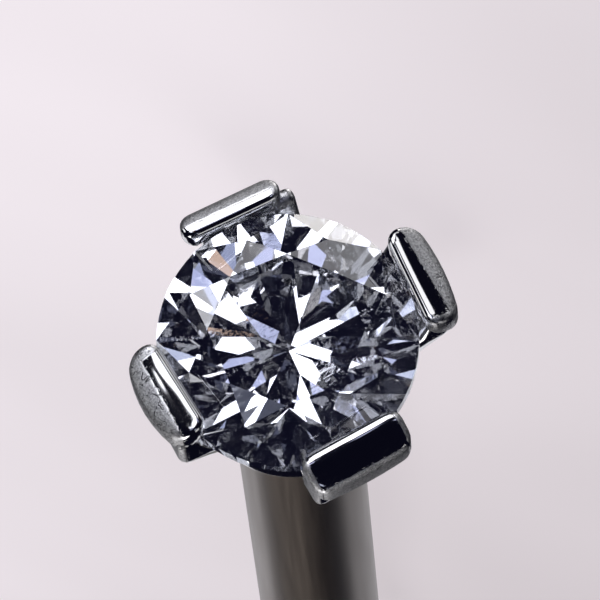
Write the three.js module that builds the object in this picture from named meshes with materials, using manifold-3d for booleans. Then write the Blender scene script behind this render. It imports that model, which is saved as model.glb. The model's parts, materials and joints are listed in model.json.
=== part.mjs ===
// A claw-set nose stud: a round brilliant stone in a four-claw setting, with a straight post and a bulb at its end.
// All sizes are in millimetres. The stud is built upright on its own axis, table up, and is then laid on its side.
// Height zero of the upright stud is the middle of the stone's girdle.

import * as THREE from "three";
import { RoundedBoxGeometry } from "three/addons/geometries/RoundedBoxGeometry.js";
import { ConvexHull } from "three/addons/math/ConvexHull.js";
import { mergeVertices } from "three/addons/utils/BufferGeometryUtils.js";
import Module from "manifold-3d";

const toRadians = THREE.MathUtils.degToRad;
const fullTurn = 2 * Math.PI;

// Stone.
const stoneDiameter = 2.0;
const tableDiameter = 1.2;
const girdleThickness = 0.15;
const crownAngle = toRadians(34);
const pavilionAngle = toRadians(41);
const starReach = 0.5; // share of the way from the table's corners out to the girdle
const lowerHalfReach = 0.77; // share of the way from the girdle in to the culet
const mainFacets = 8;
const girdleSteps = 4; // flats of the girdle under each half facet
const stoneTurn = toRadians(0);

// Claws: each rises from the base, passes outside the girdle and is pressed over it as a pad.
const seatClearance = 0.025; // free space all round the stone
const clawWall = 0.25; // metal outside the girdle
const clawLap = 0.1; // how far a pad reaches in over the stone
const padWidth = 0.83;
const padRise = 0.31; // inner end of the pad's face above the girdle
const padFall = 0.18; // drop from there to its outer end
const padThickness = 0.3;
const padRound = 0.14;
const stemWidth = 0.8;
const stemFootWidth = 0.5;
const stemRound = 0.11;
const stemSetback = 0.09; // how far the stem stands in from the pad's outer end
const stemShoulder = 0.22; // depth under the girdle where the stem starts to lean in
const stemRise = 0.06; // top of the stem above the girdle
const stemThickness = 0.28; // at the foot, measured along the radius

// One row for each claw: angle round the stone and twist of its pad in degrees, the rest as shares of the sizes above.
const claws = [
  { angle: 114, twist: 2, reach: 0.82, lap: 0.3, rise: 0.98, width: 1.0, stemShift: -0.15 },
  { angle: 23.5, twist: 1.5, reach: 1.22, lap: 0.15, rise: 1.0, width: 1.02, stemShift: 0.07 },
  { angle: 208, twist: 3.5, reach: 0.95, lap: 1.1, rise: 1.04, width: 0.98, stemShift: 0.03 },
  { angle: 299.5, twist: 0, reach: 1.12, lap: 0.8, rise: 1.0, width: 1.03, stemShift: -0.01 },
];

// Base, post and bulb.
const baseDiameter = 1.5;
const baseHeight = 0.34;
const baseDrop = 1.2; // underside of the base below the girdle
const baseRound = 0.06;
const postDiameter = 1.0;
const wearLength = 8.0; // plain post from the base's underside to the bulb
const bulbDiameter = 1.25;
const bulbLength = 1.0;

// The stud lies on its first two claws and its bulb, so it is turned down between those claws.
const restAngle = toRadians((claws[0].angle + claws[1].angle) / 2);
const restPasses = 3; // each pass looks again from the side that the last one found

// Smoothness of round shapes.
const roundSides = 48;
const padSteps = 3;
const bulbSteps = 8;
const arcStep = toRadians(24); // most that one flat of a rounded corner turns
const bevelSteps = 3;
const edgeShare = 0.46; // most of an edge that one rounded corner may take
const rimShare = 0.65; // rounding of a slab's rims, as a share of its tightest corner

const stoneRadius = stoneDiameter / 2;
const tableRadius = tableDiameter / 2;
const postRadius = postDiameter / 2;
const hillHeight = girdleThickness / 2;
const mainStep = fullTurn / mainFacets;
const starRadius = THREE.MathUtils.lerp(tableRadius, stoneRadius, starReach);
const lowerRadius = stoneRadius * (1 - lowerHalfReach);
const tableHeight = hillHeight + (stoneRadius - tableRadius) * Math.tan(crownAngle);
const culetHeight = -hillHeight - stoneRadius * Math.tan(pavilionAngle);
const starHeight = tableHeight - (starRadius * Math.cos(mainStep / 2) - tableRadius) * Math.tan(crownAngle);
const lowerHeight = culetHeight + lowerRadius * Math.cos(mainStep / 2) * Math.tan(pavilionAngle);

function polar(radius, angle, height) {
  return new THREE.Vector3(radius * Math.cos(angle), radius * Math.sin(angle), height);
}

// One edge of the girdle: where the half facets, planes through an inner corner, cut the stone's round side.
function girdleEdge(innerRadius, innerHeight, hill) {
  const edge = [];
  const steps = 2 * girdleSteps * mainFacets;
  for (let i = 0; i < steps; i++) {
    const angle = (i * fullTurn) / steps;
    const half = Math.floor(i / girdleSteps);
    const middle = mainStep * (Math.floor(half / 2) + 0.5);
    const inner = polar(innerRadius, middle, innerHeight);
    const start = polar(stoneRadius, (half * mainStep) / 2, hill);
    const end = polar(stoneRadius, ((half + 1) * mainStep) / 2, hill);
    const facet = new THREE.Plane().setFromCoplanarPoints(inner, start, end);
    const point = polar(stoneRadius, angle, 0);
    point.z = -(facet.normal.x * point.x + facet.normal.y * point.y + facet.constant) / facet.normal.z;
    edge.push(point);
  }
  return edge;
}

function brilliantGeometry() {
  const corners = [];
  const face = (...points) => {
    for (let i = 2; i < points.length; i++) corners.push(points[0], points[i - 1], points[i]);
  };
  const ring = (radius, phase, height) =>
    Array.from({ length: mainFacets }, (_, k) => polar(radius, (k + phase) * mainStep, height));
  const table = ring(tableRadius, 0, tableHeight);
  const star = ring(starRadius, 0.5, starHeight);
  const lower = ring(lowerRadius, 0.5, lowerHeight);
  const culet = new THREE.Vector3(0, 0, culetHeight);
  const top = girdleEdge(starRadius, starHeight, hillHeight);
  const bottom = girdleEdge(lowerRadius, lowerHeight, -hillHeight);
  const perMain = 2 * girdleSteps;

  face(...table);
  for (let k = 0; k < mainFacets; k++) {
    const next = (k + 1) % mainFacets;
    const last = (k + mainFacets - 1) % mainFacets;
    const main = k * perMain;
    face(table[k], star[k], table[next]);
    face(table[k], star[last], top[main], star[k]);
    face(culet, lower[k], bottom[main], lower[last]);
    for (let i = main; i < main + perMain; i++) {
      const after = (i + 1) % top.length;
      face(star[k], top[i], top[after]);
      face(top[i], bottom[i], bottom[after], top[after]);
      face(lower[k], bottom[after], bottom[i]);
    }
  }
  const geometry = new THREE.BufferGeometry().setFromPoints(corners);
  geometry.computeVertexNormals();
  return geometry;
}

const wasm = await Module();
wasm.setup();

function solidOf(geometry) {
  const bare = geometry.clone();
  bare.deleteAttribute("normal");
  bare.deleteAttribute("uv");
  const welded = mergeVertices(bare);
  return new wasm.Manifold(
    new wasm.Mesh({
      numProp: 3,
      vertProperties: welded.attributes.position.array,
      triVerts: new Uint32Array(welded.index.array),
    }),
  );
}

function geometryOf(solid) {
  const mesh = solid.getMesh();
  const geometry = new THREE.BufferGeometry();
  geometry.setAttribute("position", new THREE.BufferAttribute(mesh.vertProperties, mesh.numProp));
  geometry.setIndex(new THREE.BufferAttribute(mesh.triVerts, 1));
  const faceted = geometry.toNonIndexed();
  faceted.computeVertexNormals();
  return faceted;
}

// A solid of revolution about the stud's axis, from [radius, height] points that start and end on the axis.
function turned(points) {
  const profile = points.map(([radius, height]) => new THREE.Vector2(radius, height));
  return new THREE.LatheGeometry(profile, roundSides).rotateX(Math.PI / 2);
}

// A closed outline through [radius, height] corners, each rounded by an arc that its two edges have room for.
function roundedOutline(corners, round) {
  const points = corners.map(([x, y]) => new THREE.Vector2(x, y));
  const outline = [];
  let tightest = round;
  points.forEach((corner, i) => {
    const before = points.at(i - 1).clone().sub(corner);
    const after = points[(i + 1) % points.length].clone().sub(corner);
    const half = before.angleTo(after) / 2;
    const room = edgeShare * Math.min(before.length(), after.length());
    const along = Math.min(round / Math.tan(half), room);
    const radius = along * Math.tan(half);
    const centre = before.normalize().add(after.normalize()).setLength(along / Math.cos(half)).add(corner);
    const outwards = corner.clone().sub(centre).angle();
    const swing = Math.PI / 2 - half;
    const steps = Math.ceil((2 * swing) / arcStep);
    for (let k = 0; k <= steps; k++) {
      const angle = outwards + swing * ((2 * k) / steps - 1);
      outline.push(new THREE.Vector2(Math.cos(angle), Math.sin(angle)).multiplyScalar(radius).add(centre));
    }
    tightest = Math.min(tightest, radius);
  });
  return { shape: new THREE.Shape(outline), tightest };
}

// A slab with the given outline in a plane through the stud's axis, centred on that plane, with its rims rounded.
function roundedSlab(corners, width, round) {
  const { shape, tightest } = roundedOutline(corners, round);
  const rim = rimShare * tightest;
  const slab = new THREE.ExtrudeGeometry(shape, {
    depth: width - 2 * rim,
    bevelThickness: rim,
    bevelSize: rim,
    bevelOffset: -rim,
    bevelSegments: bevelSteps,
  });
  slab.translate(0, 0, rim - width / 2);
  return slab.rotateX(Math.PI / 2);
}

// A pad: a pillow with rounded edges and upright ends, whose face slopes down and outwards.
function padGeometry(claw) {
  const inner = stoneRadius - clawLap * claw.lap;
  const outer = stoneRadius + clawWall * claw.reach;
  const length = outer - inner;
  const slope = new THREE.Matrix4().makeShear(0, -padFall / length, 0, 0, 0, 0);
  const pad = new RoundedBoxGeometry(length, padWidth * claw.width, padThickness, padSteps, padRound);
  pad.translate(0, 0, -(padThickness + padFall) / 2);
  pad.applyMatrix4(slope).rotateZ(toRadians(claw.twist));
  return pad.translate((inner + outer) / 2, 0, hillHeight + padRise * claw.rise);
}

function stemSlab(claw) {
  const outer = stoneRadius + clawWall * claw.reach - stemSetback;
  const foot = baseDiameter / 2 - baseRound;
  const bottom = 2 * baseRound - baseDrop;
  const corners = [
    [foot - stemThickness, bottom],
    [foot, bottom],
    [outer, -hillHeight - stemShoulder],
    [outer, hillHeight + stemRise],
    [stoneRadius - clawLap * claw.lap + stemSetback, hillHeight + stemRise],
  ];
  const slab = roundedSlab(corners, stemWidth * claw.width, stemRound);
  const place = slab.attributes.position;
  for (let i = 0; i < place.count; i++) {
    const up = THREE.MathUtils.clamp((place.getZ(i) - bottom) / (-hillHeight - stemShoulder - bottom), 0, 1);
    const narrow = THREE.MathUtils.lerp(stemFootWidth / stemWidth, 1, up);
    place.setY(i, place.getY(i) * narrow + up * stemWidth * claw.stemShift);
  }
  return slab;
}

// The hollow that the stone sits in: the stone's own outline, grown by the clearance and open above the table.
function seatTool() {
  const free = seatClearance;
  return turned([
    [0, culetHeight - free],
    [stoneRadius + free, -hillHeight - free],
    [stoneRadius + free, hillHeight + free],
    [starRadius + free, starHeight + free],
    [tableRadius, tableHeight + free],
    [tableRadius, tableHeight + padRise],
    [0, tableHeight + padRise],
  ]);
}

// Bulb, post and base as one turned piece, from the bulb's tip up.
function turnedCore() {
  const bulbRadius = bulbDiameter / 2;
  const neck = Math.acos(postRadius / bulbRadius);
  const bulbTop = -baseDrop - wearLength;
  const bulbMiddle = bulbTop - (bulbLength / 2) * Math.sin(neck);
  const points = [];
  for (let i = 0; i <= bulbSteps; i++) {
    const angle = THREE.MathUtils.lerp(-Math.PI / 2, neck, i / bulbSteps);
    points.push([bulbRadius * Math.cos(angle), bulbMiddle + (bulbLength / 2) * Math.sin(angle)]);
  }
  points[0][0] = 0;
  const baseRadius = baseDiameter / 2;
  points.push(
    [postRadius, -baseDrop],
    [baseRadius - baseRound, -baseDrop],
    [baseRadius, baseRound - baseDrop],
    [baseRadius, baseHeight - baseRound - baseDrop],
    [baseRadius - baseRound, baseHeight - baseDrop],
    [0, baseHeight - baseDrop],
  );
  return turned(points);
}

function settingGeometry() {
  let metal = solidOf(turnedCore());
  for (const claw of claws) {
    for (const piece of [stemSlab(claw), padGeometry(claw)]) {
      metal = metal.add(solidOf(piece.rotateZ(toRadians(claw.angle))));
    }
  }
  return geometryOf(metal.subtract(solidOf(seatTool())));
}

const stone = new THREE.Mesh(
  brilliantGeometry(),
  new THREE.MeshStandardMaterial({ color: 0xe4e9f5, roughness: 0.03, metalness: 0, transparent: true, opacity: 0.4 }),
);
stone.name = "stone";
stone.rotation.z = stoneTurn;

const setting = new THREE.Mesh(
  settingGeometry(),
  new THREE.MeshStandardMaterial({ color: 0x86868a, roughness: 0.28, metalness: 1 }),
);
setting.name = "claw_setting_and_post";

const stud = new THREE.Group();
stud.add(stone, setting);

// The side of the metal's hull that lies under its middle, as an outward normal: the stud rests on that side.
function restingNormal(mesh, guess) {
  const hull = new ConvexHull().setFromObject(mesh);
  const middle = new THREE.Box3().setFromObject(mesh, true).getCenter(new THREE.Vector3());
  const ray = new THREE.Ray(middle, guess.clone());
  for (let pass = 0; pass < restPasses; pass++) {
    let nearest = Infinity;
    for (const hullSide of hull.faces) {
      const towards = hullSide.normal.dot(ray.direction);
      const distance = (hullSide.constant - hullSide.normal.dot(middle)) / towards;
      if (towards > 0 && distance < nearest) {
        nearest = distance;
        guess = hullSide.normal.clone();
      }
    }
    ray.direction.copy(guess);
  }
  return guess;
}

// Lays the stud down with its face towards -Y and its lowest point at height zero, under the middle of its box.
const down = restingNormal(setting, polar(1, restAngle, 0));
const up = down.clone().negate();
const back = new THREE.Vector3(0, 0, -1).projectOnPlane(down).normalize();
const across = new THREE.Vector3().crossVectors(back, up);
const turn = new THREE.Matrix4().makeBasis(across, back, up).transpose();
stud.quaternion.setFromRotationMatrix(turn);
const box = new THREE.Box3().setFromObject(stud, true);
const centre = box.getCenter(new THREE.Vector3());
stud.position.set(-centre.x, -centre.y, -box.min.z);

const group = new THREE.Group();
group.add(stud);

export default group;
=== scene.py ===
import json
import math
import bpy
from mathutils import Matrix, Vector


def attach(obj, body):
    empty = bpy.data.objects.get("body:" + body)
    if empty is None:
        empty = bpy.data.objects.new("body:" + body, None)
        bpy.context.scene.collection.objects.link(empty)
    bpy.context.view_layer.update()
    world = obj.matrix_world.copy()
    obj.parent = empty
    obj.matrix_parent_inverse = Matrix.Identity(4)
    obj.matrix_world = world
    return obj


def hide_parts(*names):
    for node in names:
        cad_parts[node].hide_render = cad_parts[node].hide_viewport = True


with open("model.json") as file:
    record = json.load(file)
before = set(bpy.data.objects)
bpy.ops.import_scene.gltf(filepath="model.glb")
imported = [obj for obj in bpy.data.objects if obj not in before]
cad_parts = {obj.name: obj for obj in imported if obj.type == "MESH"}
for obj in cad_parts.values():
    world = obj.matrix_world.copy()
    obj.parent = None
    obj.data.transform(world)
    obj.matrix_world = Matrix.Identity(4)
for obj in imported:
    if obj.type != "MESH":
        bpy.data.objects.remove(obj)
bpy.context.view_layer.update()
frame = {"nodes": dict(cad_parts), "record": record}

mm = 0.001
scene = bpy.context.scene

# The stud's own frame is in millimetres: +Z out of the table, zero at the middle of the girdle.
# The mount is a point of the flat ring under the setting, and down is this way round the stone.
lay = {"downAngle": 69.88, "seatRadius": 0.6, "seatDepth": 1.2}


def makeStudMatrix():
    mount = frame["record"]["mounts"][0]
    studZ = -Vector(mount["axis"]).normalized()
    down = (Vector((0, 0, -1)) + studZ * studZ.z).normalized()
    studX = Matrix.Rotation(-math.radians(lay["downAngle"]), 3, studZ) @ down
    studY = studZ.cross(studX)
    middle = Vector(mount["pos_m"]) + (studZ * lay["seatDepth"] - studX * lay["seatRadius"]) * mm
    turn = Matrix((studX, studY, studZ)).transposed()
    return Matrix.Translation(middle) @ (turn * mm).to_4x4()


studMatrix = makeStudMatrix()
studTurn = studMatrix.to_3x3() * (1 / mm)
stoneMiddle = studMatrix.translation
print("frame loaded, stone at", [round(v / mm, 3) for v in stoneMiddle])


shot = {
    "tilt": 16.4,  # table leans this far from the camera
    "axisAngle": 97.0,  # and this way in the image
    "pxPerMm": 131.5,
    "distance": 65.0,
    "stoneAt": (288.0, 342.3),  # px from the top left
    "imageSize": 600,
    "sensor": 36.0,
    "clip": (0.002, 3.0),
}


def imageFrame():
    tilt = math.radians(shot["tilt"])
    angle = math.radians(shot["axisAngle"])
    lean = Vector((math.cos(angle), math.sin(angle), 0))
    across = Vector((-math.sin(angle), math.cos(angle), 0))
    out = Vector((0, 0, 1))
    toCamera = out * math.cos(tilt) - lean * math.sin(tilt)
    leanSeen = lean * math.cos(tilt) + out * math.sin(tilt)
    right = leanSeen * math.cos(angle) - across * math.sin(angle)
    up = leanSeen * math.sin(angle) + across * math.cos(angle)
    return [studTurn @ v for v in (right, up, toCamera)]


imageRight, imageUp, toCamera = imageFrame()


def makeCamera():
    half = shot["imageSize"] / 2
    offRight = (half - shot["stoneAt"][0]) / shot["pxPerMm"]
    offUp = (shot["stoneAt"][1] - half) / shot["pxPerMm"]
    place = stoneMiddle + toCamera * shot["distance"] * mm
    target = stoneMiddle + (imageRight * offRight + imageUp * offUp) * mm
    back = (place - target).normalized()
    right = imageUp.cross(back).normalized()
    up = back.cross(right)
    data = bpy.data.cameras.new("photoView")
    data.sensor_width = shot["sensor"]
    data.lens = shot["sensor"] * shot["distance"] * shot["pxPerMm"] / shot["imageSize"]
    data.clip_start, data.clip_end = shot["clip"]
    cam = bpy.data.objects.new("photoView", data)
    scene.collection.objects.link(cam)
    cam.matrix_world = Matrix.Translation(place) @ Matrix((right, up, back)).transposed().to_4x4()
    scene.camera = cam


makeCamera()
print("camera placed")


def deselectAll():
    if bpy.context.object and bpy.context.object.mode != "OBJECT":
        bpy.ops.object.mode_set(mode="OBJECT")
    bpy.ops.object.select_all(action="DESELECT")


def activate(piece):
    deselectAll()
    piece.select_set(True)
    bpy.context.view_layer.objects.active = piece


def editPiece(piece, kind):
    activate(piece)
    bpy.ops.object.mode_set(mode="EDIT")
    bpy.ops.mesh.select_mode(type=kind)
    bpy.ops.mesh.select_all(action="DESELECT")


def pick(piece, kind, test):
    # selects vertices or edges of a piece in edit mode by a test on them
    bpy.ops.mesh.select_mode(type={"vertices": "VERT", "edges": "EDGE"}[kind])
    bpy.ops.mesh.select_all(action="DESELECT")
    bpy.ops.object.mode_set(mode="OBJECT")
    mesh = piece.data
    for item in getattr(mesh, kind):
        item.select = test(mesh, item)
    bpy.ops.object.mode_set(mode="EDIT")


def edgeEnds(mesh, edge):
    return [mesh.vertices[i].co for i in edge.vertices]


def applyModifier(piece, kind, **settings):
    activate(piece)
    modifier = piece.modifiers.new(kind.lower(), kind)
    for name, value in settings.items():
        setattr(modifier, name, value)
    bpy.ops.object.modifier_apply(modifier=modifier.name)


def copyPiece(piece, name):
    twin = piece.copy()
    twin.data = piece.data.copy()
    twin.name = name
    scene.collection.objects.link(twin)
    return twin


def dropPiece(piece):
    mesh = piece.data
    bpy.data.objects.remove(piece)
    bpy.data.meshes.remove(mesh)


def turnedPiece(name, rows, sides):
    # a round piece about Z: one circle drawn up through rows of [radius, height]
    deselectAll()
    bpy.ops.mesh.primitive_circle_add(
        vertices=sides, radius=rows[0][0], fill_type="NGON", location=(0, 0, rows[0][1])
    )
    piece = bpy.context.object
    piece.name = name
    bpy.ops.object.transform_apply(location=True)
    bpy.ops.object.mode_set(mode="EDIT")
    bpy.ops.mesh.select_all(action="SELECT")
    for before, after in zip(rows, rows[1:]):
        bpy.ops.mesh.extrude_region_move(TRANSFORM_OT_translate={"value": (0, 0, after[1] - before[1])})
        ratio = after[0] / before[0]
        bpy.ops.transform.resize(value=(ratio, ratio, 1), center_override=(0, 0, after[1]))
    bpy.ops.mesh.select_all(action="SELECT")
    bpy.ops.mesh.normals_make_consistent(inside=False)
    bpy.ops.object.mode_set(mode="OBJECT")
    return piece


stoneSizes = {"radius": 1.0, "tableRadius": 0.6, "hill": 0.075, "tableHeight": 0.345, "culet": -0.944}
clawSizes = {
    "wall": 0.25, "lap": 0.1, "rise": 0.295, "setback": 0.01,
    "width": 0.82, "length": 0.34, "thickness": 0.29, "corner": 0.11, "topRim": 0.05, "lowRim": 0.05,
    "cornerSteps": 5, "topRimSteps": 5, "lowRimSteps": 3, "lengthCuts": 12, "widthCuts": 7,
    "stemWidth": 0.78, "stemFoot": 0.5, "stemSetback": 0.09, "stemShoulder": 0.22, "stemRise": 0.06,
    "stemThickness": 0.27, "stemTop": 0.13, "stemRim": 0.055, "stemRimSteps": 3,
    "clearance": 0.025, "smoothAngle": 32,
}
tiny = 1e-4  # slack in mm when points are picked by place
# angle and twist in degrees, and crest, curve and bow in mm: the face is highest at its crest, bends
# down from there in an arc and runs straight once it is as steep as its slope. The rest are shares of
# the sizes above.
claws = [
    {"name": "farLeft", "angle": 114, "twist": 2, "reach": 0.82, "lap": 0.3, "rise": 0.83, "width": 1.0,
     "crest": 0.036, "curve": 0.2, "slope": 1.2, "bow": 0.0, "stemShift": -0.15},
    {"name": "right", "angle": 23.5, "twist": 1.5, "reach": 1.22, "lap": 0.15, "rise": 0.83, "width": 1.02,
     "crest": 0.029, "curve": 0.24, "slope": 1.2, "bow": 0.05, "stemShift": 0.07},
    {"name": "left", "angle": 208, "twist": 3.5, "reach": 0.95, "lap": 1.1, "rise": 1.04, "width": 0.98,
     "crest": 0.03, "curve": 0.28, "slope": 1.2, "bow": 0.085, "stemShift": 0.03},
    {"name": "near", "angle": 299.5, "twist": 0, "reach": 1.12, "lap": 0.8, "rise": 1.0, "width": 1.03,
     "crest": 0.09, "curve": 0.12, "slope": 0.5, "bow": 0.025, "stemShift": -0.01},
]


def padEnds(claw):
    inner = stoneSizes["radius"] - clawSizes["lap"] * claw["lap"]
    outer = stoneSizes["radius"] + clawSizes["wall"] * claw["reach"] - clawSizes["setback"]
    return inner, outer


def isUpright(mesh, edge):
    one, other = edgeEnds(mesh, edge)
    return abs(one.z - other.z) > clawSizes["thickness"] / 2


def makePad():
    # one plain pad with its inner end at zero, for all four claws
    width, thick = clawSizes["width"], clawSizes["thickness"]
    deselectAll()
    bpy.ops.mesh.primitive_cube_add(size=1, scale=(clawSizes["length"], width, thick))
    pad = bpy.context.object
    pad.name = "pad"
    bpy.ops.object.transform_apply(scale=True)
    editPiece(pad, "EDGE")
    pick(pad, "edges", isUpright)
    bpy.ops.mesh.bevel(offset=clawSizes["corner"], segments=clawSizes["cornerSteps"], affect="EDGES")
    for height, rim in ((thick / 2, "topRim"), (-thick / 2, "lowRim")):
        pick(pad, "edges", lambda mesh, edge: all(abs(end.z - height) < tiny for end in edgeEnds(mesh, edge)))
        bpy.ops.mesh.bevel(offset=clawSizes[rim], segments=clawSizes[rim + "Steps"], affect="EDGES")
    bpy.ops.mesh.select_all(action="SELECT")
    bpy.ops.transform.translate(value=(clawSizes["length"] / 2, 0, -thick / 2))
    # cuts both ways let each copy be curved
    for way, start, reach, cuts in (
        ((1, 0, 0), 0, clawSizes["length"], clawSizes["lengthCuts"]),
        ((0, 1, 0), -width / 2, width, clawSizes["widthCuts"]),
    ):
        for step in range(1, cuts + 1):
            place = start + reach * step / (cuts + 1)
            bpy.ops.mesh.select_all(action="SELECT")
            bpy.ops.mesh.bisect(plane_co=[place * part for part in way], plane_no=way)
    bpy.ops.object.mode_set(mode="OBJECT")
    return pad


def stretched(along, length):
    # the rounded ends keep their size and the part between them takes up the difference
    corner, plain = clawSizes["corner"], clawSizes["length"]
    if along <= corner:
        return along
    if along >= plain - corner:
        return along + length - plain
    return corner + (along - corner) * (length - 2 * corner) / (plain - 2 * corner)


def padDrop(claw, along):
    past = along - claw["crest"]
    bend = claw["curve"] * claw["slope"]
    if past < bend:
        return past * past / (2 * claw["curve"])
    return claw["slope"] * (past - bend / 2)


def fitPad(plain, claw):
    # a copy of the plain pad, made as long and wide as its claw needs and set in its place
    inner, outer = padEnds(claw)
    length = outer - inner - claw["bow"]
    top = stoneSizes["hill"] + clawSizes["rise"] * claw["rise"]
    half = clawSizes["width"] * claw["width"] / 2
    pad = copyPiece(plain, "pad_" + claw["name"])
    for point in pad.data.vertices:
        point.co.x = stretched(point.co.x, length)
        point.co.y *= claw["width"]
        outwards = max(0, 2 * point.co.x / length - 1)
        point.co.z += top - padDrop(claw, point.co.x)
        point.co.x += claw["bow"] * outwards * (1 - (point.co.y / half) ** 2)
    activate(pad)
    # twisted about its own middle, then turned round the stone
    pad.location = (-length / 2, 0, 0)
    bpy.ops.object.transform_apply(location=True)
    pad.rotation_euler = (0, 0, math.radians(claw["twist"]))
    pad.location = (inner + length / 2, 0, 0)
    bpy.ops.object.transform_apply(location=True, rotation=True)
    pad.rotation_euler = (0, 0, math.radians(claw["angle"]))
    bpy.ops.object.transform_apply(rotation=True)
    return pad


def stemHeights():
    bottom = 2 * base["rim"] - base["drop"]
    shoulder = -stoneSizes["hill"] - clawSizes["stemShoulder"]
    top = stoneSizes["hill"] + clawSizes["stemRise"]
    return bottom, shoulder, top


def makeStem():
    # one plain stem that leans out from the base to its shoulder and then stands up
    bottom, shoulder, top = stemHeights()
    foot = base["radius"] - base["rim"]
    outer = stoneSizes["radius"] + clawSizes["wall"] - clawSizes["stemSetback"]
    thick = clawSizes["stemThickness"]
    narrow = clawSizes["stemFoot"] / clawSizes["stemWidth"]
    deselectAll()
    bpy.ops.mesh.primitive_plane_add(size=1)
    stem = bpy.context.object
    stem.name = "stem"
    bpy.ops.object.mode_set(mode="EDIT")
    bpy.ops.mesh.select_all(action="SELECT")
    bpy.ops.transform.resize(value=(thick, clawSizes["stemFoot"], 1))
    bpy.ops.transform.translate(value=(foot - thick / 2, 0, bottom))
    bpy.ops.mesh.extrude_region_move(TRANSFORM_OT_translate={"value": (outer - foot, 0, shoulder - bottom)})
    bpy.ops.transform.resize(value=(1, 1 / narrow, 1), center_override=(0, 0, shoulder))
    bpy.ops.mesh.extrude_region_move(TRANSFORM_OT_translate={"value": (0, 0, top - shoulder)})
    pick(stem, "vertices", lambda mesh, point: point.co.z > top - tiny and point.co.x < outer - tiny)
    bpy.ops.transform.translate(value=(thick - clawSizes["stemTop"], 0, 0))
    bpy.ops.mesh.select_all(action="SELECT")
    bpy.ops.mesh.normals_make_consistent(inside=False)
    bpy.ops.mesh.select_mode(type="EDGE")
    bpy.ops.mesh.select_all(action="SELECT")
    bpy.ops.mesh.bevel(offset=clawSizes["stemRim"], segments=clawSizes["stemRimSteps"], affect="EDGES")
    bpy.ops.object.mode_set(mode="OBJECT")
    return stem


def fitStem(plain, claw):
    # a copy of the plain stem whose upper part reaches as far out as its pad
    bottom, shoulder, top = stemHeights()
    reach = padEnds(claw)[1] - stoneSizes["radius"] - clawSizes["wall"]
    stem = copyPiece(plain, "stem_" + claw["name"])
    editPiece(stem, "VERT")
    pick(stem, "vertices", lambda mesh, point: point.co.z > (bottom + shoulder) / 2)
    bpy.ops.transform.resize(value=(1, claw["width"], 1), center_override=(0, 0, 0))
    bpy.ops.transform.translate(value=(reach, clawSizes["stemWidth"] * claw["stemShift"], 0))
    bpy.ops.object.mode_set(mode="OBJECT")
    activate(stem)
    stem.rotation_euler = (0, 0, math.radians(claw["angle"]))
    bpy.ops.object.transform_apply(rotation=True)
    return stem


base = {"radius": 0.75, "height": 0.34, "drop": 1.2, "rim": 0.06, "rimSteps": 4}
post = {
    "radius": 0.498, "length": 8.0, "fillet": 0.03, "bulbRadius": 0.617, "bulbLength": 0.994, "bulbSteps": 16,
    "bulbNeck": 0.05, "bulbTip": 0.02, "bulbTipRaised": 0.0003, "sides": 96,
}


def makeCore():
    # base, post and bulb in one, drawn up from the bulb's tip to the top of the base
    neck = math.acos(post["radius"] / post["bulbRadius"])
    bulbHalf = post["bulbLength"] / 2
    bulbMiddle = -base["drop"] - post["length"] - bulbHalf * math.sin(neck)
    rows = [[post["bulbTip"], bulbMiddle - bulbHalf + post["bulbTipRaised"]]]
    for step in range(1, post["bulbSteps"] + 1):
        angle = -math.pi / 2 + (neck + math.pi / 2) * step / post["bulbSteps"]
        rows.append([post["bulbRadius"] * math.cos(angle), bulbMiddle + bulbHalf * math.sin(angle)])
    rows.append([post["radius"], rows[-1][1] + post["bulbNeck"]])
    rows.append([post["radius"], -base["drop"] - post["fillet"]])
    rows.append([post["radius"] + post["fillet"], -base["drop"]])
    rim = base["rim"]
    for start, middle in ((-90, rim - base["drop"]), (0, base["height"] - base["drop"] - rim)):
        for step in range(base["rimSteps"] + 1):
            angle = math.radians(start + 90 * step / base["rimSteps"])
            rows.append([base["radius"] - rim + rim * math.cos(angle), middle + rim * math.sin(angle)])
    return turnedPiece("core", rows, post["sides"])


# the seat follows the stone, with one more ring half way up its crown, and is open above the table
seatSizes = {"tip": 0.01, "crownRadius": 0.8, "crownHeight": 0.23, "open": 0.4}


def makeSeatTool():
    free = clawSizes["clearance"]
    radius, hill = stoneSizes["radius"] + free, stoneSizes["hill"] + free
    table, tableHeight = stoneSizes["tableRadius"], stoneSizes["tableHeight"]
    rows = [
        [seatSizes["tip"], stoneSizes["culet"] - free],
        [radius, -hill],
        [radius, hill],
        [seatSizes["crownRadius"] + free, seatSizes["crownHeight"] + free],
        [table, tableHeight + free],
        [table, tableHeight + seatSizes["open"]],
    ]
    return turnedPiece("seat", rows, post["sides"])


def makeSetting():
    metal = makeCore()
    plainPad, plainStem = makePad(), makeStem()
    for claw in claws:
        for piece in (fitStem(plainStem, claw), fitPad(plainPad, claw)):
            applyModifier(metal, "BOOLEAN", operation="UNION", solver="MANIFOLD", object=piece)
            dropPiece(piece)
    dropPiece(plainPad)
    dropPiece(plainStem)
    seat = makeSeatTool()
    applyModifier(metal, "BOOLEAN", operation="DIFFERENCE", solver="MANIFOLD", object=seat)
    dropPiece(seat)
    metal.name = "claw_setting_with_post"
    metal.data.name = metal.name
    activate(metal)
    bpy.ops.object.shade_smooth_by_angle(angle=math.radians(clawSizes["smoothAngle"]))
    metal.data.transform(studMatrix)
    return metal


# where the polish of each pad ends, as a share of the way out, how that line leans along the pad,
# how matte the pad is past it, how matte its rims are and how strong the marks in its matte parts
padWear = {
    "farLeft": {"edge": 0.52, "lean": 0.0, "matte": 1.0, "rims": 0.5, "marks": 0.25},
    "right": {"edge": 0.56, "lean": -0.3, "matte": 1.0, "rims": 0.5, "marks": 0.5},
    "left": {"edge": 0.6, "lean": 0.15, "matte": 1.0, "rims": 0.5, "marks": 1.0},
    "near": {"edge": 1.4, "lean": 0.0, "matte": 0.0, "rims": 0.95, "marks": 0.4},
}


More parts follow.
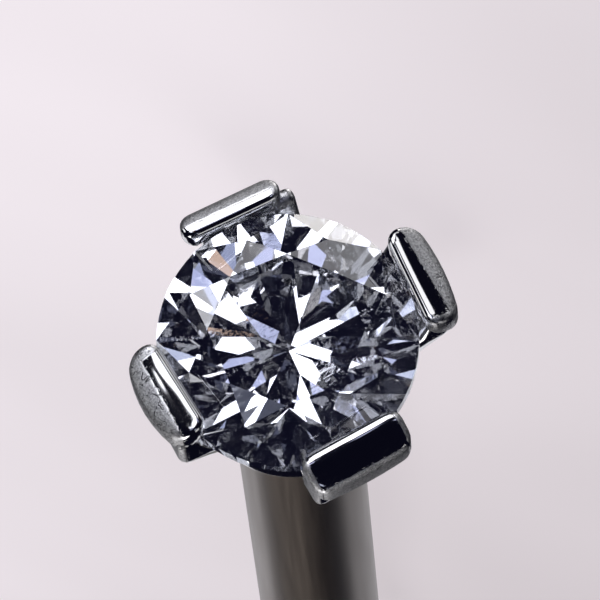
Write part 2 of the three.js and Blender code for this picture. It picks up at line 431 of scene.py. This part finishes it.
def newMaterial(name):
    material = bpy.data.materials.new(name)
    material.use_nodes = True
    nodes = material.node_tree.nodes
    return material, nodes, material.node_tree.links, nodes["Principled BSDF"]


def addNode(nodes, kind, **values):
    node = nodes.new(kind)
    for name, value in values.items():
        if hasattr(node, name):
            setattr(node, name, value)
        else:
            node.inputs[name].default_value = value
    return node


def remap(nodes, links, source, low, high, toLow=0.0, toHigh=1.0):
    node = nodes.new("ShaderNodeMapRange")
    node.inputs["From Min"].default_value = low
    node.inputs["From Max"].default_value = high
    node.inputs["To Min"].default_value = toLow
    node.inputs["To Max"].default_value = toHigh
    links.new(source, node.inputs["Value"])
    return node.outputs["Result"]


def blendColors(nodes, links, factor, first, second):
    node = nodes.new("ShaderNodeMix")
    node.data_type = "RGBA"
    for socket, value in ((node.inputs[0], factor), (node.inputs[6], first), (node.inputs[7], second)):
        if isinstance(value, bpy.types.NodeSocket):
            links.new(value, socket)
        else:
            socket.default_value = value
    return node.outputs[2]


def calc(nodes, links, operation, *values):
    node = nodes.new("ShaderNodeMath")
    node.operation = operation
    for socket, value in zip(node.inputs, values):
        if isinstance(value, bpy.types.NodeSocket):
            links.new(value, socket)
        else:
            socket.default_value = value
    return node.outputs["Value"]


def studCoordinates(nodes, links):
    # object coordinates turned into the stud's own millimetres
    turn = studTurn.transposed()
    coords = nodes.new("ShaderNodeTexCoord")
    mapping = nodes.new("ShaderNodeMapping")
    mapping.inputs["Location"].default_value = -(turn @ stoneMiddle) / mm
    mapping.inputs["Rotation"].default_value = turn.to_euler()
    mapping.inputs["Scale"].default_value = (1 / mm,) * 3
    links.new(coords.outputs["Object"], mapping.inputs["Vector"])
    return mapping.outputs["Vector"]


scratchLook = {"drawnOut": 0.06, "sharp": (0.58, 0.66), "patchScale": 3.0, "patches": (0.42, 0.58)}


def scratchGroup():
    # fine scratches: bands of noise drawn out along one way and kept only where a second noise is high
    group = bpy.data.node_groups.new("fineScratches", "ShaderNodeTree")
    face = group.interface
    face.new_socket("Vector", in_out="INPUT", socket_type="NodeSocketVector")
    face.new_socket("Scale", in_out="INPUT", socket_type="NodeSocketFloat")
    face.new_socket("Turn", in_out="INPUT", socket_type="NodeSocketFloat")
    face.new_socket("Amount", in_out="INPUT", socket_type="NodeSocketFloat")
    face.new_socket("Mask", in_out="OUTPUT", socket_type="NodeSocketFloat")
    nodes, links = group.nodes, group.links
    source = nodes.new("NodeGroupInput")
    result = nodes.new("NodeGroupOutput")
    rotate = addNode(nodes, "ShaderNodeVectorRotate", rotation_type="Z_AXIS")
    links.new(source.outputs["Vector"], rotate.inputs["Vector"])
    links.new(source.outputs["Turn"], rotate.inputs["Angle"])
    stretch = addNode(nodes, "ShaderNodeVectorMath", operation="MULTIPLY")
    stretch.inputs[1].default_value = (1.0, scratchLook["drawnOut"], 1.0)
    links.new(rotate.outputs["Vector"], stretch.inputs[0])
    lines = addNode(nodes, "ShaderNodeTexNoise", Detail=3.0, Roughness=0.6, Distortion=0.4)
    links.new(stretch.outputs["Vector"], lines.inputs["Vector"])
    links.new(source.outputs["Scale"], lines.inputs["Scale"])
    sharp = remap(nodes, links, lines.outputs["Fac"], *scratchLook["sharp"])
    patches = addNode(nodes, "ShaderNodeTexNoise", Scale=scratchLook["patchScale"], Detail=2.0)
    links.new(source.outputs["Vector"], patches.inputs["Vector"])
    kept = remap(nodes, links, patches.outputs["Fac"], *scratchLook["patches"])
    both = calc(nodes, links, "MULTIPLY", sharp, kept)
    links.new(calc(nodes, links, "MULTIPLY", both, source.outputs["Amount"]), result.inputs["Mask"])
    return group


fineScratches = scratchGroup()


def placeScratches(nodes, links, vector, scale, turn, amount):
    node = nodes.new("ShaderNodeGroup")
    node.node_tree = fineScratches
    links.new(vector, node.inputs["Vector"])
    node.inputs["Scale"].default_value = scale
    node.inputs["Turn"].default_value = turn
    node.inputs["Amount"].default_value = amount
    return node.outputs["Mask"]


# half the width of the worn edge and the reach of the rims as shares of the way out, the rest in mm
padLook = {"edgeSoft": 0.09, "sideRim": (-0.06, -0.03), "outRim": (0.84, 0.93), "lowest": -0.35}


def padWearGroup():
    # how worn a point of one pad is, from its place on that pad: 0 is mirror polish
    group = bpy.data.node_groups.new("padWear", "ShaderNodeTree")
    face = group.interface
    face.new_socket("Vector", in_out="INPUT", socket_type="NodeSocketVector")
    for name in ("Angle", "Inner", "Outer", "Half Width", "Edge", "Lean", "Matte", "Rims", "Marked"):
        face.new_socket(name, in_out="INPUT", socket_type="NodeSocketFloat")
    face.new_socket("Worn", in_out="OUTPUT", socket_type="NodeSocketFloat")
    face.new_socket("Marks", in_out="OUTPUT", socket_type="NodeSocketFloat")
    nodes, links = group.nodes, group.links
    source = nodes.new("NodeGroupInput")
    result = nodes.new("NodeGroupOutput")
    turn = addNode(nodes, "ShaderNodeVectorRotate", rotation_type="Z_AXIS", invert=True)
    links.new(source.outputs["Vector"], turn.inputs["Vector"])
    links.new(source.outputs["Angle"], turn.inputs["Angle"])
    place = nodes.new("ShaderNodeSeparateXYZ")
    links.new(turn.outputs["Vector"], place.inputs["Vector"])
    x, y, z = place.outputs
    reach = calc(nodes, links, "SUBTRACT", source.outputs["Outer"], source.outputs["Inner"])
    out = calc(nodes, links, "DIVIDE", calc(nodes, links, "SUBTRACT", x, source.outputs["Inner"]), reach)
    edge = calc(nodes, links, "MULTIPLY_ADD", y, source.outputs["Lean"], source.outputs["Edge"])
    past = calc(nodes, links, "SUBTRACT", out, edge)
    worn = remap(nodes, links, past, -padLook["edgeSoft"], padLook["edgeSoft"])
    worn = calc(nodes, links, "MULTIPLY", worn, source.outputs["Matte"])
    side = calc(nodes, links, "SUBTRACT", calc(nodes, links, "ABSOLUTE", y), source.outputs["Half Width"])
    sideRim = remap(nodes, links, side, *padLook["sideRim"])
    outRim = remap(nodes, links, out, *padLook["outRim"])
    rims = calc(nodes, links, "MAXIMUM", sideRim, outRim)
    rims = calc(nodes, links, "MULTIPLY", rims, source.outputs["Rims"])
    both = calc(nodes, links, "MAXIMUM", worn, rims)
    # only within this pad's own quarter of the setting, and not on the base
    quarter = calc(nodes, links, "GREATER_THAN", x, calc(nodes, links, "ABSOLUTE", y))
    above = calc(nodes, links, "GREATER_THAN", z, padLook["lowest"])
    here = calc(nodes, links, "MULTIPLY", quarter, above)
    here = calc(nodes, links, "MULTIPLY", both, here)
    links.new(here, result.inputs["Worn"])
    links.new(calc(nodes, links, "MULTIPLY", here, source.outputs["Marked"]), result.inputs["Marks"])
    return group


padWearNodes = padWearGroup()

steel = {
    "bright": (0.56, 0.56, 0.57, 1), "worn": (0.62, 0.62, 0.63, 1), "dull": (0.34, 0.34, 0.35, 1),
    # shaft: the post's darker, brownish steel colour, painted shade in a brownish tone
    "markDark": (0.04, 0.04, 0.045, 1), "shaft": (0.30, 0.25, 0.205, 1), "shaftVaried": 0.06,
    "brightRough": 0.07, "wornRough": 0.48, "shaftRough": 0.3, "shaftRoughVaried": 0.02,
    "raggedScale": 18.0, "ragged": 0.4, "wornRange": (0.5, 0.85),
    "curlScale": 13.0, "curlWidth": (0.012, 0.03), "breakScale": 17.0, "breaks": (0.42, 0.48),
    "scratchScale": 60.0, "scratchTurn": 0.6, "scratchAmount": 0.5, "scratchRough": 0.15,
    "grainScale": 60.0, "grain": (0.42, 0.62), "grainDepth": 0.009,
    "lineScale": 22.0, "linesDrawnOut": 0.03, "lines": (0.3, 0.7), "waveScale": 2.6, "waveDepth": 0.014,
}


def wornMasks(nodes, links, vector):
    # how worn and how marked the steel is, over all four pads
    worn, marks = 0.0, 0.0
    for claw in claws:
        inner, outer = padEnds(claw)
        wear = padWear[claw["name"]]
        node = nodes.new("ShaderNodeGroup")
        node.node_tree = padWearNodes
        links.new(vector, node.inputs["Vector"])
        values = {
            "Angle": math.radians(claw["angle"] + claw["twist"]), "Inner": inner, "Outer": outer,
            "Half Width": clawSizes["width"] * claw["width"] / 2,
            "Edge": wear["edge"], "Lean": wear["lean"], "Matte": wear["matte"], "Rims": wear["rims"],
            "Marked": wear["marks"],
        }
        for name, value in values.items():
            node.inputs[name].default_value = value
        worn = calc(nodes, links, "ADD", worn, node.outputs["Worn"])
        marks = calc(nodes, links, "ADD", marks, node.outputs["Marks"])
    return worn, marks


def makeSteel():
    material, nodes, links, shader = newMaterial("worn_polished_steel")
    vector = studCoordinates(nodes, links)
    height = nodes.new("ShaderNodeSeparateXYZ")
    links.new(vector, height.inputs["Vector"])
    shaft = remap(nodes, links, height.outputs["Z"], -base["drop"] - post["fillet"], -base["drop"], 1.0, 0.0)
    wornPlaces, markedPlaces = wornMasks(nodes, links, vector)
    edgeNoise = addNode(nodes, "ShaderNodeTexNoise", Scale=steel["raggedScale"], Detail=4.0)
    links.new(vector, edgeNoise.inputs["Vector"])
    ragged = calc(nodes, links, "MULTIPLY_ADD", edgeNoise.outputs["Fac"], steel["ragged"], wornPlaces)
    worn = remap(nodes, links, ragged, *steel["wornRange"])
    # short curled marks lie where one noise crosses its middle, broken up by another
    curls = addNode(nodes, "ShaderNodeTexNoise", Scale=steel["curlScale"], Detail=1.0, Distortion=0.6)
    links.new(vector, curls.inputs["Vector"])
    offMiddle = calc(nodes, links, "ABSOLUTE", calc(nodes, links, "SUBTRACT", curls.outputs["Fac"], 0.5))
    curlMask = remap(nodes, links, offMiddle, *steel["curlWidth"], 1.0, 0.0)
    breaks = addNode(nodes, "ShaderNodeTexNoise", Scale=steel["breakScale"], Detail=1.0)
    links.new(vector, breaks.inputs["Vector"])
    kept = remap(nodes, links, breaks.outputs["Fac"], *steel["breaks"])
    marks = calc(nodes, links, "MULTIPLY", calc(nodes, links, "MULTIPLY", curlMask, kept), markedPlaces)
    scratches = placeScratches(
        nodes, links, vector, steel["scratchScale"], steel["scratchTurn"], steel["scratchAmount"]
    )
    grain = addNode(nodes, "ShaderNodeTexNoise", Scale=steel["grainScale"], Detail=5.0, Roughness=0.6)
    links.new(vector, grain.inputs["Vector"])
    dulled = remap(nodes, links, grain.outputs["Fac"], *steel["grain"])
    wornTone = blendColors(nodes, links, dulled, steel["worn"], steel["dull"])
    tone = blendColors(nodes, links, worn, steel["bright"], wornTone)
    # the curled marks are dented a little and coloured near-black
    marked = blendColors(nodes, links, marks, tone, steel["markDark"])
    # drawn lines run along the post
    drawn = addNode(nodes, "ShaderNodeVectorMath", operation="MULTIPLY")
    drawn.inputs[1].default_value = (1.0, 1.0, steel["linesDrawnOut"])
    links.new(vector, drawn.inputs[0])
    lines = addNode(nodes, "ShaderNodeTexNoise", Scale=steel["lineScale"], Detail=4.0, Roughness=0.6)
    links.new(drawn.outputs["Vector"], lines.inputs["Vector"])
    varied = steel["shaftVaried"]
    shade = remap(nodes, links, lines.outputs["Fac"], *steel["lines"], 1 - varied, 1 + varied)
    # painted shade: the post gets a darker, brownish copy of the steel, varied along its drawn lines
    shaftTone = addNode(nodes, "ShaderNodeVectorMath", operation="SCALE")
    shaftTone.inputs[0].default_value = steel["shaft"][:3]
    links.new(shade, shaftTone.inputs["Scale"])
    color = blendColors(nodes, links, shaft, marked, shaftTone.outputs["Vector"])
    links.new(color, shader.inputs["Base Color"])
    rough = remap(nodes, links, worn, 0.0, 1.0, steel["brightRough"], steel["wornRough"])
    rough = calc(nodes, links, "MULTIPLY_ADD", scratches, steel["scratchRough"], rough)
    varied = steel["shaftRoughVaried"]
    smoother, rougher = steel["shaftRough"] - varied, steel["shaftRough"] + varied
    shaftRough = remap(nodes, links, lines.outputs["Fac"], *steel["lines"], smoother, rougher)
    mixRough = addNode(nodes, "ShaderNodeMix", data_type="FLOAT")
    links.new(shaft, mixRough.inputs[0])
    links.new(rough, mixRough.inputs[2])
    links.new(shaftRough, mixRough.inputs[3])
    links.new(mixRough.outputs[0], shader.inputs["Roughness"])
    # hand polish leaves the metal slightly wavy, so reflections in it aren't straight
    waves = addNode(nodes, "ShaderNodeTexNoise", Scale=steel["waveScale"], Detail=0.0)
    links.new(vector, waves.inputs["Vector"])
    offPost = calc(nodes, links, "SUBTRACT", 1.0, shaft)
    wavy = addNode(nodes, "ShaderNodeBump", Strength=1.0, Distance=steel["waveDepth"] * mm)
    links.new(calc(nodes, links, "MULTIPLY", waves.outputs["Fac"], offPost), wavy.inputs["Height"])
    raised = calc(nodes, links, "MULTIPLY", grain.outputs["Fac"], worn)
    bump = addNode(nodes, "ShaderNodeBump", Strength=0.5, Distance=steel["grainDepth"] * mm)
    links.new(wavy.outputs["Normal"], bump.inputs["Normal"])
    links.new(calc(nodes, links, "SUBTRACT", raised, marks), bump.inputs["Height"])
    links.new(bump.outputs["Normal"], shader.inputs["Normal"])
    shader.inputs["Metallic"].default_value = 1.0
    return material


stone = {
    "tint": (0.92, 0.945, 1.0, 1), "deepTint": (0.86, 0.885, 0.99, 1), "index": 2.16,
    "cloudScale": 2.2, "clouds": (0.35, 0.65),
    "scratchScale": 45.0, "scratchTurn": 1.1, "scratchRough": 0.012, "scratchDepth": 0.0003,
}


def makeStoneMaterial():
    material, nodes, links, shader = newMaterial("clear_stone")
    vector = studCoordinates(nodes, links)
    clouds = addNode(nodes, "ShaderNodeTexNoise", Scale=stone["cloudScale"], Detail=2.0)
    links.new(vector, clouds.inputs["Vector"])
    cloudy = remap(nodes, links, clouds.outputs["Fac"], *stone["clouds"])
    color = blendColors(nodes, links, cloudy, stone["tint"], stone["deepTint"])
    links.new(color, shader.inputs["Base Color"])
    scratches = placeScratches(nodes, links, vector, stone["scratchScale"], stone["scratchTurn"], 1.0)
    links.new(calc(nodes, links, "MULTIPLY", scratches, stone["scratchRough"]), shader.inputs["Roughness"])
    bump = addNode(nodes, "ShaderNodeBump", Strength=0.1, Distance=stone["scratchDepth"] * mm)
    bump.invert = True
    links.new(scratches, bump.inputs["Height"])
    links.new(bump.outputs["Normal"], shader.inputs["Normal"])
    shader.inputs["IOR"].default_value = stone["index"]
    shader.inputs["Transmission Weight"].default_value = 1.0
    return material


setting = makeSetting()
setting.data.materials.clear()
setting.data.materials.append(makeSteel())
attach(setting, "root")
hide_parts("claw_setting_and_post")
print("setting made,", len(setting.data.polygons), "faces")

stoneNode = frame["nodes"]["stone"]
stoneNode.data.materials.clear()
stoneNode.data.materials.append(makeStoneMaterial())
print("stone dressed")


# the floor glows though it is no lamp: its glow is painted light standing in for the light on it, running
# from shade to pale, brighter one way and in soft patches; its own colour is kept dark, so the stud's shadow
# on it stays faint
stage = {
    "size": 1.6, "color": (0.2, 0.188, 0.194, 1), "rough": 0.9,
    "pale": (0.82, 0.76, 0.805, 1), "shade": (0.53, 0.485, 0.51, 1),
    "brighterWay": (33.0, -9.0, 0.0), "cloudScale": 130.0, "cloudAmount": 0.25, "range": (-0.02, 0.32),
    "dark": (0.004, 0.004, 0.011, 1),  # of the world round the lights
}


def makeFloor():
    deselectAll()
    bpy.ops.mesh.primitive_plane_add(size=stage["size"])
    floor = bpy.context.object
    floor.name = "floor"
    material, nodes, links, shader = newMaterial("pale_floor")
    coords = nodes.new("ShaderNodeTexCoord")
    clouds = addNode(nodes, "ShaderNodeTexNoise", Scale=stage["cloudScale"], Detail=2.0)
    links.new(coords.outputs["Object"], clouds.inputs["Vector"])
    rising = addNode(nodes, "ShaderNodeVectorMath", operation="DOT_PRODUCT")
    links.new(coords.outputs["Object"], rising.inputs[0])
    rising.inputs[1].default_value = stage["brighterWay"]
    cloudAmount = stage["cloudAmount"]
    amount = calc(nodes, links, "MULTIPLY_ADD", clouds.outputs["Fac"], cloudAmount, rising.outputs["Value"])
    amount = remap(nodes, links, amount, *stage["range"])
    # painted light: the floor's glow, shade at one end and pale at the other
    glow = blendColors(nodes, links, amount, stage["shade"], stage["pale"])
    links.new(glow, shader.inputs["Emission Color"])
    shader.inputs["Base Color"].default_value = stage["color"]
    shader.inputs["Roughness"].default_value = stage["rough"]
    shader.inputs["Specular IOR Level"].default_value = 0.0
    shader.inputs["Emission Strength"].default_value = 1.0
    floor.data.materials.append(material)
    # lights stand below the floor too, so it is left out of shadows, reflections and what the stone shows
    floor.visible_shadow = floor.visible_glossy = floor.visible_transmission = False


lightDistance = 200.0  # mm from the stone
# each light: its angle in the image, its angle from the camera's direction, how wide and tall it looks
# from the stone, all in degrees, then its brightness and tint
lights = [
    {"name": "key", "angle": 118, "from": 51, "wide": 46, "tall": 28,
     "bright": 3.3, "tint": (0.93, 0.94, 1.0)},
    {"name": "keyHigh", "angle": 95, "from": 72, "wide": 44, "tall": 14,
     "bright": 1.1, "tint": (0.97, 0.96, 1.0)},
    {"name": "keyLow", "angle": 109, "from": 38, "wide": 12, "tall": 5,
     "bright": 2.4, "tint": (1.0, 0.99, 1.0)},
    {"name": "keyRight", "angle": 70, "from": 44.5, "wide": 9, "tall": 12,
     "bright": 1.8, "tint": (0.97, 0.97, 1.0)},
    {"name": "front", "angle": 148, "from": 24, "wide": 26, "tall": 16,
     "bright": 2.9, "tint": (0.92, 0.93, 1.0)},
    {"name": "fill", "angle": 105, "from": 24.5, "wide": 12, "tall": 9,
     "bright": 1.0, "tint": (0.66, 0.7, 1.0)},
    {"name": "fillLeft", "angle": 193, "from": 25, "wide": 12, "tall": 10,
     "bright": 0.7, "tint": (0.66, 0.72, 1.0)},
    {"name": "fillRight", "angle": 45, "from": 25, "wide": 12, "tall": 10,
     "bright": 1.0, "tint": (0.7, 0.74, 1.0)},
    {"name": "top", "angle": 255, "from": 105, "wide": 30, "tall": 46,
     "bright": 3.4, "tint": (1.0, 0.98, 0.98)},
    {"name": "lowBack", "angle": 75, "from": 115, "wide": 27, "tall": 30,
     "bright": 4.0, "tint": (1.0, 0.97, 0.96)},
    {"name": "lowRight", "angle": 285, "from": 35, "wide": 17, "tall": 10,
     "bright": 1.0, "tint": (0.75, 0.8, 1.0)},
    {"name": "right", "angle": 45, "from": 84, "wide": 40, "tall": 22,
     "bright": 1.1, "tint": (0.96, 0.97, 1.0)},
    {"name": "left", "angle": 185, "from": 81, "wide": 30, "tall": 24,
     "bright": 1.6, "tint": (0.97, 0.98, 1.0)},
    {"name": "low", "angle": 310, "from": 68, "wide": 34, "tall": 30,
     "bright": 0.9, "tint": (1.0, 0.99, 0.98)},
    {"name": "warm", "angle": 130, "from": 13, "wide": 5, "tall": 6,
     "bright": 0.9, "tint": (1.0, 0.72, 0.55)},
    {"name": "back", "angle": 90, "from": 180, "wide": 36, "tall": 36,
     "bright": 0.85, "tint": (0.96, 0.95, 1.0)},
]


def makeLight(row):
    angle, away = math.radians(row["angle"]), math.radians(row["from"])
    side = imageRight * math.cos(angle) + imageUp * math.sin(angle)
    way = toCamera * math.cos(away) + side * math.sin(away)
    tallWay = side * math.cos(away) - toCamera * math.sin(away)
    data = bpy.data.lights.new(row["name"], "AREA")
    data.shape = "RECTANGLE"
    reach = lightDistance * mm
    data.size = 2 * reach * math.tan(math.radians(row["wide"] / 2))
    data.size_y = 2 * reach * math.tan(math.radians(row["tall"] / 2))
    data.energy = row["bright"] * math.pi * data.size * data.size_y
    data.color = row["tint"]
    lamp = bpy.data.objects.new(row["name"], data)
    scene.collection.objects.link(lamp)
    turn = Matrix((tallWay.cross(way), tallWay, way)).transposed()
    lamp.matrix_world = Matrix.Translation(stoneMiddle + way * reach) @ turn.to_4x4()
    lamp.visible_camera = False


def makeWorld():
    world = bpy.data.worlds.new("studio")
    scene.world = world
    world.use_nodes = True
    background = world.node_tree.nodes["Background"]
    background.inputs["Color"].default_value = stage["dark"]
    background.inputs["Strength"].default_value = 1.0


makeFloor()
for row in lights:
    makeLight(row)
makeWorld()
scene.view_settings.view_transform = "Standard"
scene.cycles.max_bounces = 20
scene.cycles.glossy_bounces = 16
scene.cycles.transmission_bounces = 16
print("stage and light made")
